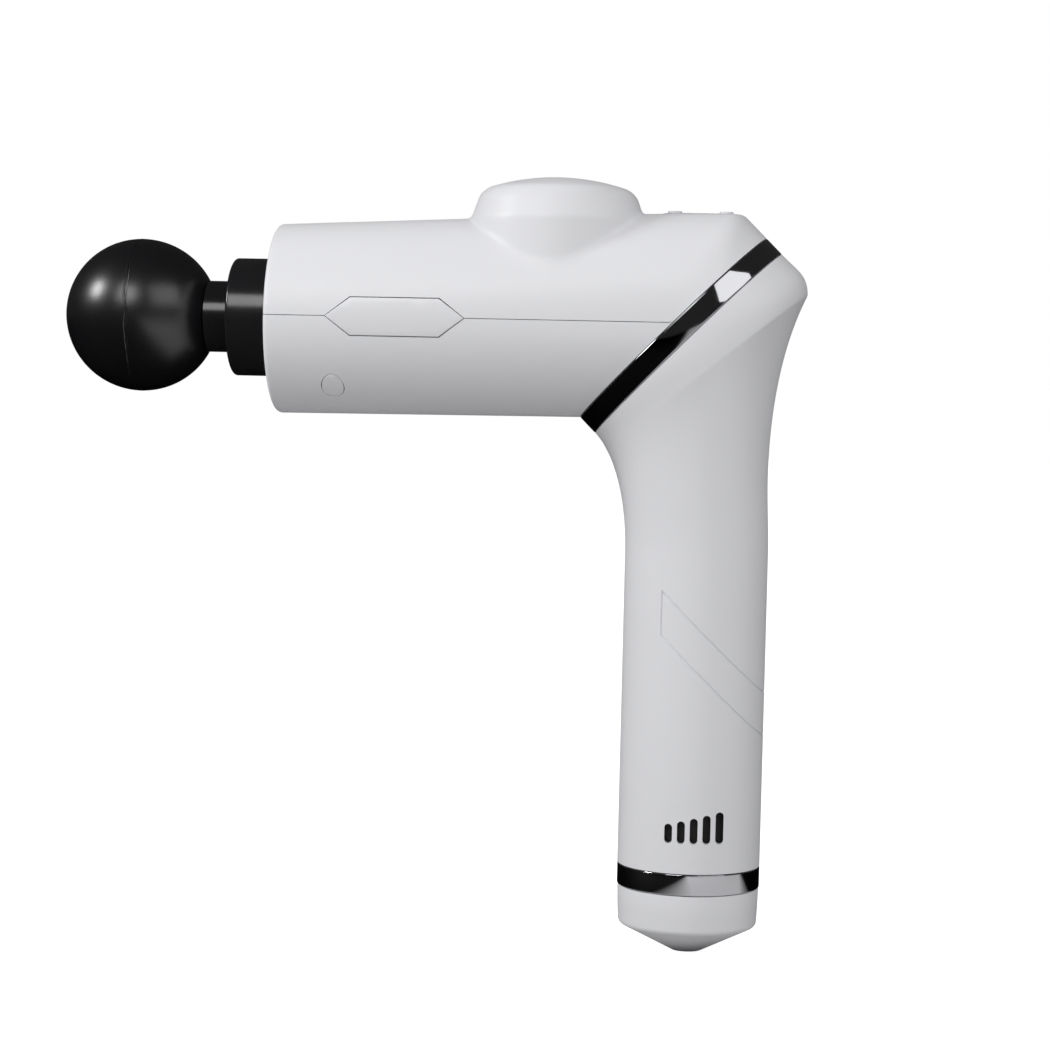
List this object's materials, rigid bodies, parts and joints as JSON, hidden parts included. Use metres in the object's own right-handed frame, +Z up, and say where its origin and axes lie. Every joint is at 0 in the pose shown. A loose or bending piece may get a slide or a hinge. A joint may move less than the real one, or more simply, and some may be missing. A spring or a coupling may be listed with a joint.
{
  "type": "massage gun",
  "caption": "Cordless pistol-shaped percussion massager: round foam head on a motor-driven piston, two-part barrel with motor bump, slanting metal band, battery handle.",
  "frame": {"origin": "on the handle's axis, inside the straight grip wall", "axes": "+Z up along the handle, -X the way the round head points, +Y across the barrel"},
  "size_m": [0.2426, 0.0666, 0.25],
  "materials": {
    "white_plastic": "soft-touch matt",
    "badge_plastic": "satin",
    "black_gloss": "polished",
    "black_foam": "matt foam skin",
    "dark_chrome": "mirror, smoked",
    "bush_bronze": "sintered bronze",
    "seal_rubber": "matt",
    "ring_rubber": "satin silicone",
    "cast_alloy": "die-cast",
    "machined_alloy": "machined",
    "screw_steel": "black oxide",
    "bearing_steel": "ground",
    "lamination": "stacked sheets",
    "copper_wire": "enamelled copper",
    "rotor_steel": "nickel plated",
    "magnet": "sintered",
    "nylon_dark": "glass-filled nylon",
    "board_green": "solder mask",
    "chip_black": "epoxy",
    "cell_wrap": "shrink-wrapped cell",
    "nickel": "nickel strip",
    "mesh_black": "woven screen",
    "bezel_grey": "satin",
    "button_white": "matt",
    "light_pipe": "clear",
    "lead_red": "silicone insulation",
    "lead_yellow": "silicone insulation"
  },
  "bodies": {
    "housing": {"upper_shell": "white_plastic", "lower_shell": "white_plastic", "side_badges": "badge_plastic", "screw_plugs": "white_plastic", "shell_screws": "screw_steel", "guide_collar": "black_gloss", "guide_bush": "bush_bronze", "lip_seal": "seal_rubber", "motor_bracket": "cast_alloy", "bracket_screws": "screw_steel", "shaft_bearings": "bearing_steel", "stator_core": "lamination", "motor_windings": "copper_wire", "elbow_frame": "nylon_dark", "metal_band": "dark_chrome", "handle_shell": "white_plastic", "handle_ring": "dark_chrome", "bottom_cap": "white_plastic", "cap_screws": "screw_steel", "charge_jack": "chip_black", "charge_board": "board_green", "battery_cells": "cell_wrap", "cell_holders": "nylon_dark", "cell_links": "nickel", "vent_screens": "mesh_black", "driver_board": "board_green", "driver_chips": "chip_black", "control_bezel": "bezel_grey", "front_spring": "bearing_steel", "rear_spring": "bearing_steel", "button_switches": "nickel", "control_board": "board_green", "level_lights": "light_pipe", "battery_leads": "lead_red", "motor_leads": "lead_yellow"},
    "rotor": {"rotor_can": "rotor_steel", "rotor_magnets": "magnet", "motor_shaft": "bearing_steel", "crank_eccentric": "machined_alloy"},
    "rod": {"connecting_rod": "cast_alloy", "rod_bearing": "bearing_steel", "crank_screw": "screw_steel"},
    "piston": {"piston": "black_gloss", "wrist_pin": "bearing_steel"},
    "head": {"head_stem": "black_gloss", "stem_rings": "ring_rubber", "ball_head": "black_foam"},
    "front_button": {"front_button": "button_white"},
    "rear_button": {"rear_button": "button_white"}
  },
  "joints": [
    {"name": "rotor_spin", "type": "hinge", "parent": "housing", "child": "rotor", "pos_m": [-0.0476, 0, 0.12], "axis": [0, 0, 1], "continuous": true},
    {"name": "piston_stroke", "type": "slide", "parent": "housing", "child": "piston", "axis": [-1, 0, 0], "range_m": [0, 0.012]},
    {"name": "rod_swing", "type": "hinge", "parent": "piston", "child": "rod", "pos_m": [-0.0796, 0, 0.12], "axis": [0, 0, 1], "range_deg": [-9.1, 9.1]},
    {"name": "head_pull", "type": "slide", "parent": "piston", "child": "head", "axis": [-1, 0, 0], "range_m": [0, 0.03]},
    {"name": "front_press", "type": "slide", "parent": "housing", "child": "front_button", "axis": [0, 0, -1], "range_m": [0, 0.0006], "stiffness_N_per_m": 800, "springref_m": -0.001, "deforming": ["front_spring"]},
    {"name": "rear_press", "type": "slide", "parent": "housing", "child": "rear_button", "axis": [0, 0, -1], "range_m": [0, 0.0006], "stiffness_N_per_m": 800, "springref_m": -0.001, "deforming": ["rear_spring"]}
  ]
}
